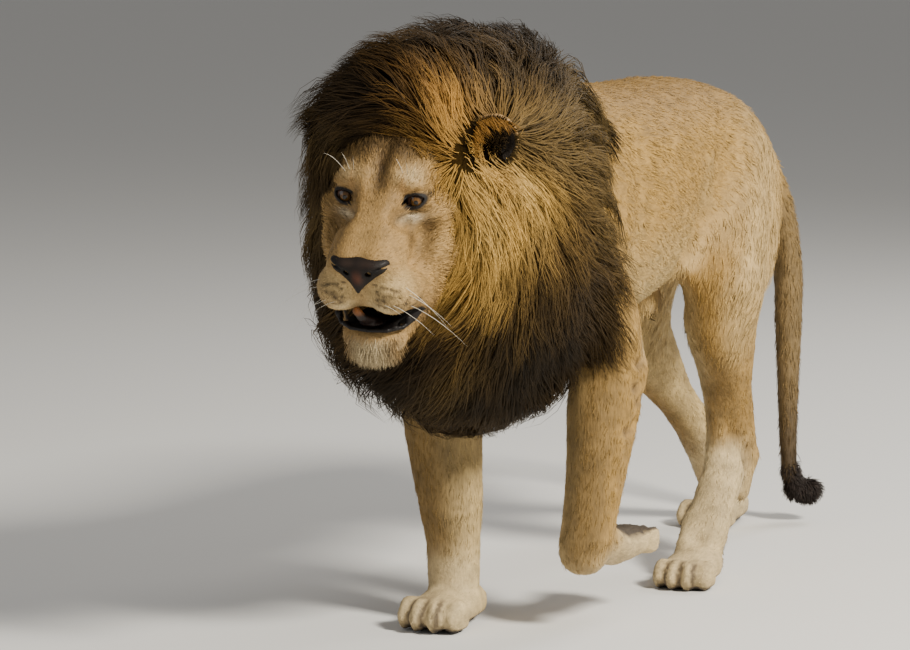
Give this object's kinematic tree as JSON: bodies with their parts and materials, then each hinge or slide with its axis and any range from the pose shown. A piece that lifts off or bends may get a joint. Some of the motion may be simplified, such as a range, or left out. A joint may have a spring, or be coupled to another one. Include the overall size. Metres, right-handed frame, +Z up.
{
  "type": "lion",
  "caption": "Life-size male lion with a full wind-swept mane, caught in mid walk with one forepaw lifted and the tufted tail hanging.",
  "frame": {"origin": "on the floor under the middle of the whole animal's box", "axes": "+Z up, the lion faces -Y and walks that way, its left side is at +X"},
  "size_m": [0.4954, 2.0042, 1.1791],
  "materials": {
    "coat": "short tawny fur",
    "mane_hair": "long hair, golden at the face and near black behind and below",
    "tail_hair": "tight black hair",
    "nose_leather": "damp dark skin with a rusty middle",
    "tongue": "wet",
    "eye": "wet amber iris with a round pupil"
  },
  "bodies": {
    "root": {"ear_left": "coat", "ear_right": "coat", "eye_left": "eye", "eye_right": "eye", "foreleg_left_lower": "coat", "foreleg_left_upper": "coat", "foreleg_right_lower": "coat", "foreleg_right_upper": "coat", "forepaw_left": "coat", "forepaw_right": "coat", "head": "coat", "hindfoot_left": "coat", "hindfoot_right": "coat", "hindleg_left_lower": "coat", "hindleg_left_upper": "coat", "hindleg_right_lower": "coat", "hindleg_right_upper": "coat", "mane": "mane_hair", "neck": "coat", "nose": "nose_leather", "tail": "coat", "tail_tuft": "tail_hair", "tongue": "tongue", "trunk": "coat"}
  },
  "joints": []
}
